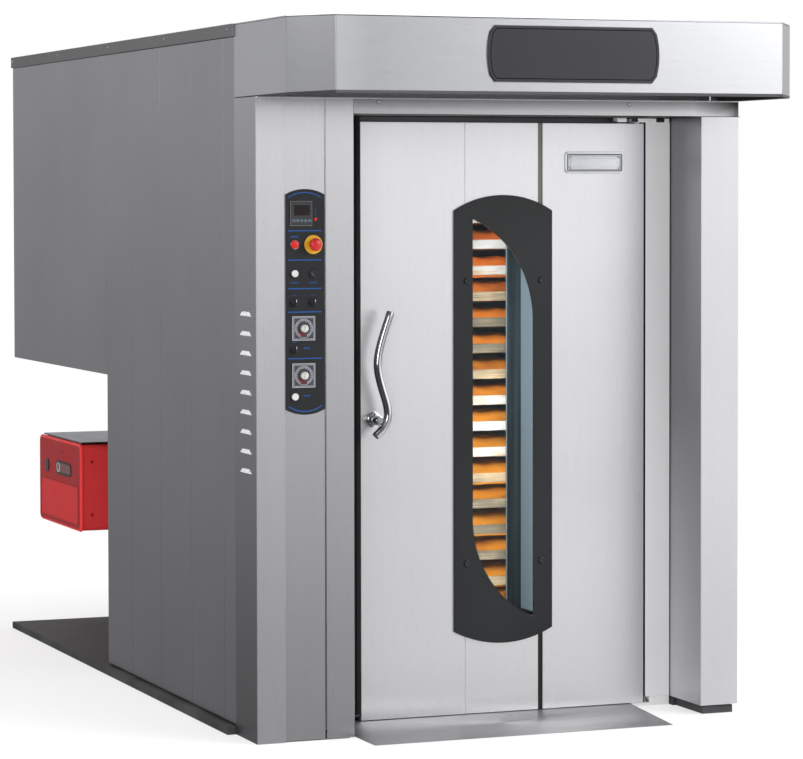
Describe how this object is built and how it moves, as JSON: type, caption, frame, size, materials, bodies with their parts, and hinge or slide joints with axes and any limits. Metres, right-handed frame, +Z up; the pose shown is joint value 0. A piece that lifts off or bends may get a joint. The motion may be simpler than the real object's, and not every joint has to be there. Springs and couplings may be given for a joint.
{
  "type": "rotating rack oven",
  "caption": "Free-standing bakery oven in stainless steel with a hinged glazed door, a rack of trays that turns on a driven hook, a front hood and a side burner.",
  "frame": {"origin": "on the floor, under the middle of the object's outline", "axes": "+X along the front to the right as one faces the door, +Y from the door towards the back, +Z up"},
  "size_m": [1.737, 3.4094, 2.329],
  "materials": {
    "brushed_steel": "vertically brushed stainless steel, satin",
    "side_steel": "darker satin stainless steel side panel",
    "base_paint": "dark grey painted steel",
    "ramp_steel": "matt stainless steel ramp",
    "liner_steel": "plain stainless steel, slightly heat tinted",
    "mineral_wool": "pressed mineral wool",
    "exchanger_steel": "scaled heat resistant steel",
    "burner_red": "glossy red paint",
    "burner_grey": "cast aluminium",
    "motor_paint": "blue grey paint",
    "panel_black": "black printed panel foil",
    "instrument_plastic": "pale plastic bezels with dark dials",
    "signal_yellow": "yellow plastic, red lamp and metal collars",
    "mask_black": "black window frame",
    "clear_glass": "toughened glass",
    "lamp_white": "white lamp diffuser",
    "dark_fixing": "black caps",
    "chrome": "polished chrome",
    "gasket_rubber": "dark silicone gasket",
    "rack_steel": "stainless steel tube",
    "tray_metal": "used aluminium baking tray",
    "bread_crust": "golden brown crust",
    "white_plastic": "white plastic",
    "black_plastic": "black plastic",
    "signal_red": "red plastic",
    "cream_plastic": "cream plastic",
    "wheel_black": "heat resistant black wheel"
  },
  "bodies": {
    "oven_body": {"base_plate": "base_paint", "left_side_panels": "side_steel", "right_side_panels": "side_steel", "rear_panels": "side_steel", "roof_deck": "side_steel", "left_pillar": "brushed_steel", "control_fascia": "brushed_steel", "front_frame": "brushed_steel", "right_pillar": "brushed_steel", "hinge_post": "brushed_steel", "canopy_shell": "brushed_steel", "canopy_nameplate": "panel_black", "entry_ramp": "ramp_steel", "chamber_liner": "liner_steel", "insulation_slabs": "mineral_wool", "air_diffusers": "liner_steel", "heat_exchanger": "exchanger_steel", "exchanger_casing": "side_steel", "burner_cover": "burner_red", "burner_body": "burner_grey", "fan_motor": "motor_paint", "exhaust_collars": "liner_steel", "steam_generator": "exchanger_steel", "rack_drive": "motor_paint", "control_panel_plate": "panel_black", "panel_instruments": "instrument_plastic", "panel_trim": "signal_yellow"},
    "door": {"door_outer_skin": "brushed_steel", "door_inner_liner": "liner_steel", "window_mask": "mask_black", "window_glass": "clear_glass", "window_lamp": "lamp_white", "glass_fixings": "dark_fixing", "door_badge": "chrome", "door_gasket": "gasket_rubber", "handle_rose": "chrome"},
    "handle": {"handle_lever": "chrome"},
    "rack": {"rack_shaft": "rack_steel", "rack_frame": "rack_steel", "baking_trays": "tray_metal", "bread_loaves": "bread_crust"},
    "fan": {"fan_impeller": "liner_steel"},
    "damper": {"damper_flap": "liner_steel"},
    "start_button": {"start_button": "white_plastic"},
    "stop_button": {"stop_button": "black_plastic"},
    "steam_button": {"steam_button": "white_plastic"},
    "emergency_knob": {"emergency_knob": "signal_red"},
    "selector_switch_1": {"selector_switch_1": "black_plastic"},
    "selector_switch_2": {"selector_switch_2": "black_plastic"},
    "selector_switch_3": {"selector_switch_3": "black_plastic"},
    "timer_knob_1": {"timer_knob_1": "cream_plastic"},
    "timer_knob_2": {"timer_knob_2": "cream_plastic"},
    "caster_fork_1": {"caster_fork_1": "rack_steel"},
    "caster_fork_2": {"caster_fork_2": "rack_steel"},
    "caster_fork_3": {"caster_fork_3": "rack_steel"},
    "caster_fork_4": {"caster_fork_4": "rack_steel"},
    "caster_wheel_1": {"caster_wheel_1": "wheel_black"},
    "caster_wheel_2": {"caster_wheel_2": "wheel_black"},
    "caster_wheel_3": {"caster_wheel_3": "wheel_black"},
    "caster_wheel_4": {"caster_wheel_4": "wheel_black"}
  },
  "joints": [
    {"name": "door_hinge", "type": "hinge", "parent": "oven_body", "child": "door", "pos_m": [0.5815, -1.01935, 0.979], "axis": [0, 0, 1], "range_deg": [0, 105]},
    {"name": "handle_turn", "type": "hinge", "parent": "door", "child": "handle", "pos_m": [-0.3635, -1.03335, 0.986], "axis": [0, 1, 0], "range_deg": [0, 45]},
    {"name": "rack_turn", "type": "hinge", "parent": "oven_body", "child": "rack", "pos_m": [0.0975, -0.41505, 0.001], "axis": [0, 0, 1], "continuous": true},
    {"name": "fan_spin", "type": "hinge", "parent": "oven_body", "child": "fan", "pos_m": [-0.0015, 1.02865, 1.9], "axis": [0, 0, 1], "continuous": true},
    {"name": "damper_turn", "type": "hinge", "parent": "oven_body", "child": "damper", "pos_m": [-0.1385, -0.01135, 2.0784], "axis": [1, 0, 0], "range_deg": [0, 90]},
    {"name": "start_press", "type": "slide", "parent": "oven_body", "child": "start_button", "axis": [0, 1, 0], "range_m": [0, 0.004], "stiffness_N_per_m": 400},
    {"name": "stop_press", "type": "slide", "parent": "oven_body", "child": "stop_button", "axis": [0, 1, 0], "range_m": [0, 0.004], "stiffness_N_per_m": 400},
    {"name": "steam_press", "type": "slide", "parent": "oven_body", "child": "steam_button", "axis": [0, 1, 0], "range_m": [0, 0.004], "stiffness_N_per_m": 400},
    {"name": "emergency_press", "type": "slide", "parent": "oven_body", "child": "emergency_knob", "axis": [0, 1, 0], "range_m": [0, 0.004]},
    {"name": "selector_1_turn", "type": "hinge", "parent": "oven_body", "child": "selector_switch_1", "pos_m": [-0.712, -1.26695, 1.376], "axis": [0, 1, 0], "range_deg": [-45, 45]},
    {"name": "selector_2_turn", "type": "hinge", "parent": "oven_body", "child": "selector_switch_2", "pos_m": [-0.65, -1.26695, 1.376], "axis": [0, 1, 0], "range_deg": [-45, 45]},
    {"name": "selector_3_turn", "type": "hinge", "parent": "oven_body", "child": "selector_switch_3", "pos_m": [-0.712, -1.26695, 1.23], "axis": [0, 1, 0], "range_deg": [-45, 45]},
    {"name": "timer_1_turn", "type": "hinge", "parent": "oven_body", "child": "timer_knob_1", "pos_m": [-0.683, -1.26265, 1.295], "axis": [0, 1, 0], "range_deg": [0, 300]},
    {"name": "timer_2_turn", "type": "hinge", "parent": "oven_body", "child": "timer_knob_2", "pos_m": [-0.683, -1.26265, 1.148], "axis": [0, 1, 0], "range_deg": [0, 300]},
    {"name": "caster_1_swivel", "type": "hinge", "parent": "rack", "child": "caster_fork_1", "pos_m": [-0.1225, -0.73505, 0.132], "axis": [0, 0, 1], "continuous": true},
    {"name": "caster_1_roll", "type": "hinge", "parent": "caster_fork_1", "child": "caster_wheel_1", "pos_m": [-0.1525, -0.73505, 0.074], "axis": [0, 1, 0], "continuous": true},
    {"name": "caster_2_swivel", "type": "hinge", "parent": "rack", "child": "caster_fork_2", "pos_m": [0.3175, -0.73505, 0.132], "axis": [0, 0, 1], "continuous": true},
    {"name": "caster_2_roll", "type": "hinge", "parent": "caster_fork_2", "child": "caster_wheel_2", "pos_m": [0.2875, -0.73505, 0.074], "axis": [0, 1, 0], "continuous": true},
    {"name": "caster_3_swivel", "type": "hinge", "parent": "rack", "child": "caster_fork_3", "pos_m": [0.3175, -0.09505, 0.132], "axis": [0, 0, 1], "continuous": true},
    {"name": "caster_3_roll", "type": "hinge", "parent": "caster_fork_3", "child": "caster_wheel_3", "pos_m": [0.2875, -0.09505, 0.074], "axis": [0, 1, 0], "continuous": true},
    {"name": "caster_4_swivel", "type": "hinge", "parent": "rack", "child": "caster_fork_4", "pos_m": [-0.1225, -0.09505, 0.132], "axis": [0, 0, 1], "continuous": true},
    {"name": "caster_4_roll", "type": "hinge", "parent": "caster_fork_4", "child": "caster_wheel_4", "pos_m": [-0.1525, -0.09505, 0.074], "axis": [0, 1, 0], "continuous": true}
  ]
}
